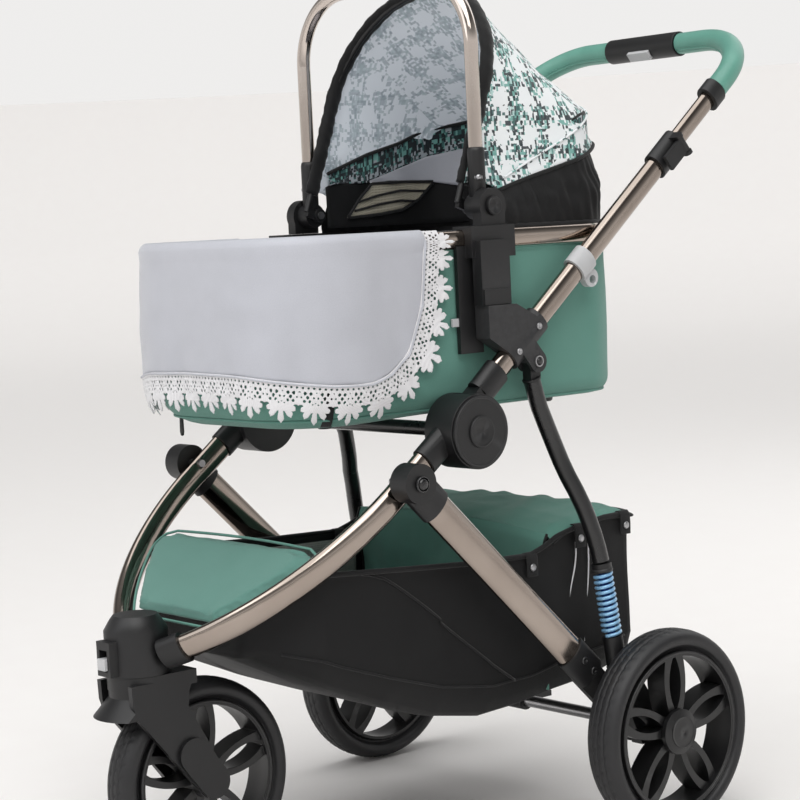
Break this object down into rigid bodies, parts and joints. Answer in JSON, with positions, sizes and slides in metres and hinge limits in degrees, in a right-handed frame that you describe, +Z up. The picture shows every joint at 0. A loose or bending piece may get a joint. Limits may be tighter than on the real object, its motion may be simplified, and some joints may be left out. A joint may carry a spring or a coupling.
{
  "type": "pet stroller",
  "caption": "Folding pet stroller with a lift-off bassinet under a printed half-dome canopy, a carry arch, a lidded basket, sprung rear wheels and a swivelling front wheel",
  "frame": {"origin": "on the floor under the middle of the overall box", "axes": "+X is the stroller's left, -Y is its front, +Z is up"},
  "size_m": [0.638, 1.0041, 1.108],
  "materials": {
    "tube": "bronze anodised, semi gloss",
    "black_plastic": "black moulded plastic",
    "grey_plastic": "light grey plastic",
    "steel": "zinc plated steel",
    "black_metal": "black powder coat",
    "spring": "pale blue coated steel",
    "tyre": "solid foam tyre with side grooves",
    "rim": "black plastic",
    "green_cloth": "woven teal green polyester",
    "black_cloth": "woven polyester",
    "printed_cloth": "white satin cloth with a teal and black block print",
    "grey_cloth": "smooth grey cloth",
    "pad": "padded cloth",
    "grip": "teal green leatherette",
    "hoop": "black lacquer",
    "chrome": "chromed steel tube"
  },
  "bodies": {
    "front_frame": {"front_tube_left": "tube", "front_tube_right": "tube", "lower_knuckles": "black_plastic", "hub_discs": "black_plastic", "fold_pins": "steel", "front_crossbar": "black_metal", "swivel_housing": "black_plastic", "footrest": "green_cloth", "leg_pins": "steel", "basket_shell": "black_cloth", "basket_lid": "green_cloth"},
    "upper_frame": {"upper_tube_left": "tube", "upper_tube_right": "tube", "upper_knuckles": "black_plastic", "mid_sockets": "black_plastic", "tube_clamps": "black_plastic", "accessory_clips": "grey_plastic", "strut_pins": "steel"},
    "clamp_lever_left": {"clamp_lever_left": "black_plastic"},
    "clamp_lever_right": {"clamp_lever_right": "black_plastic"},
    "handle": {"handle_bar": "tube", "handle_grips": "grip", "handle_centre": "black_plastic", "handle_collars": "black_plastic"},
    "handle_button": {"handle_button": "grey_plastic"},
    "rear_legs": {"leg_tube_left": "tube", "leg_tube_right": "tube", "leg_caps": "black_plastic", "leg_sleeves": "black_plastic", "strut_tubes": "black_metal", "strut_ends": "black_plastic", "strut_rods": "spring"},
    "rear_axle": {"axle_housings": "black_plastic", "axle_tube": "steel", "coil_springs": "spring"},
    "brake_pedal": {"brake_pedal": "black_plastic"},
    "rear_wheel_left": {"rear_tyre_left": "tyre", "rear_rim_left": "rim"},
    "rear_wheel_right": {"rear_tyre_right": "tyre", "rear_rim_right": "rim"},
    "fork": {"fork": "black_plastic", "front_axle": "steel"},
    "front_wheel": {"front_tyre": "tyre", "front_rim": "rim"},
    "swivel_lock": {"swivel_lock": "grey_plastic"},
    "bassinet": {"bassinet_body": "green_cloth", "bassinet_rail": "tube", "bassinet_brackets": "black_plastic", "bassinet_pad": "pad", "pivot_housings": "black_plastic", "pivot_pins": "steel", "apron": "grey_cloth", "canopy_skirt": "black_cloth"},
    "canopy": {"canopy_hoop": "hoop", "canopy_fabric": "printed_cloth"},
    "carry_arch": {"carry_arch": "chrome"},
    "arch_button_left": {"arch_button_left": "black_plastic"},
    "arch_button_right": {"arch_button_right": "black_plastic"},
    "release_button_left": {"release_button_left": "grey_plastic"},
    "release_button_right": {"release_button_right": "grey_plastic"}
  },
  "joints": [
    {"name": "frame_fold", "type": "hinge", "parent": "front_frame", "child": "upper_frame", "pos_m": [0, -0.088, 0.536], "axis": [1, 0, 0], "range_deg": [-25, 0]},
    {"name": "leg_swing", "type": "hinge", "parent": "front_frame", "child": "rear_legs", "pos_m": [0, -0.197, 0.485], "axis": [1, 0, 0], "range_deg": [-13.6, 0]},
    {"name": "rear_suspension", "type": "slide", "parent": "rear_legs", "child": "rear_axle", "axis": [0, -0.1061, 0.9944], "range_m": [0, 0.01], "stiffness_N_per_m": 8000, "springref_m": -0.02, "deforming": ["coil_springs"]},
    {"name": "rear_wheel_left_spin", "type": "hinge", "parent": "rear_axle", "child": "rear_wheel_left", "pos_m": [0.293, 0.163, 0.13], "axis": [1, 0, 0], "continuous": true},
    {"name": "rear_wheel_right_spin", "type": "hinge", "parent": "rear_axle", "child": "rear_wheel_right", "pos_m": [-0.293, 0.163, 0.13], "axis": [1, 0, 0], "continuous": true},
    {"name": "brake_press", "type": "hinge", "parent": "rear_axle", "child": "brake_pedal", "pos_m": [0, 0.163, 0.13], "axis": [1, 0, 0], "range_deg": [-20, 0]},
    {"name": "front_swivel", "type": "hinge", "parent": "front_frame", "child": "fork", "pos_m": [0, -0.445, 0.296], "axis": [0, 0, 1], "continuous": true},
    {"name": "front_wheel_spin", "type": "hinge", "parent": "fork", "child": "front_wheel", "pos_m": [0, -0.366, 0.125], "axis": [1, 0, 0], "continuous": true},
    {"name": "swivel_lock_slide", "type": "slide", "parent": "front_frame", "child": "swivel_lock", "axis": [0, 0, 1], "range_m": [0, 0.005]},
    {"name": "handle_slide", "type": "slide", "parent": "upper_frame", "child": "handle", "axis": [0, 0.7738, 0.6334], "range_m": [-0.08, 0.03]},
    {"name": "clamp_lever_left_open", "type": "hinge", "parent": "upper_frame", "child": "clamp_lever_left", "pos_m": [0.2285, 0.30274, 0.87679], "axis": [0, -0.6334, 0.7738], "range_deg": [0, 100]},
    {"name": "clamp_lever_right_open", "type": "hinge", "parent": "upper_frame", "child": "clamp_lever_right", "pos_m": [-0.2285, 0.30274, 0.87679], "axis": [0, 0.6334, -0.7738], "range_deg": [0, 100]},
    {"name": "handle_button_press", "type": "slide", "parent": "handle", "child": "handle_button", "axis": [0, 0.7738, 0.6334], "range_m": [0, 0.004], "stiffness_N_per_m": 500, "springref_m": -0.004},
    {"name": "bassinet_lift", "type": "slide", "parent": "upper_frame", "child": "bassinet", "axis": [0, 0, 1], "range_m": [0, 0.12]},
    {"name": "arch_swing", "type": "hinge", "parent": "bassinet", "child": "carry_arch", "pos_m": [0, -0.012, 0.808], "axis": [1, 0, 0], "range_deg": [0, 85]},
    {"name": "canopy_fold", "type": "hinge", "parent": "bassinet", "child": "canopy", "pos_m": [0, -0.012, 0.808], "axis": [1, 0, 0], "range_deg": [-42, 0], "deforming": ["canopy_fabric"]},
    {"name": "arch_button_left_press", "type": "slide", "parent": "bassinet", "child": "arch_button_left", "axis": [-1, 0, 0], "range_m": [0, 0.004], "stiffness_N_per_m": 500, "springref_m": -0.004},
    {"name": "arch_button_right_press", "type": "slide", "parent": "bassinet", "child": "arch_button_right", "axis": [1, 0, 0], "range_m": [0, 0.004], "stiffness_N_per_m": 500, "springref_m": -0.004},
    {"name": "release_button_left_press", "type": "slide", "parent": "bassinet", "child": "release_button_left", "axis": [0, 1, 0], "range_m": [0, 0.004], "stiffness_N_per_m": 500, "springref_m": -0.004},
    {"name": "release_button_right_press", "type": "slide", "parent": "bassinet", "child": "release_button_right", "axis": [0, 1, 0], "range_m": [0, 0.004], "stiffness_N_per_m": 500, "springref_m": -0.004}
  ],
  "couplings": [
    {"joint": "leg_swing", "follows": "frame_fold", "ratio": 0.54}
  ]
}
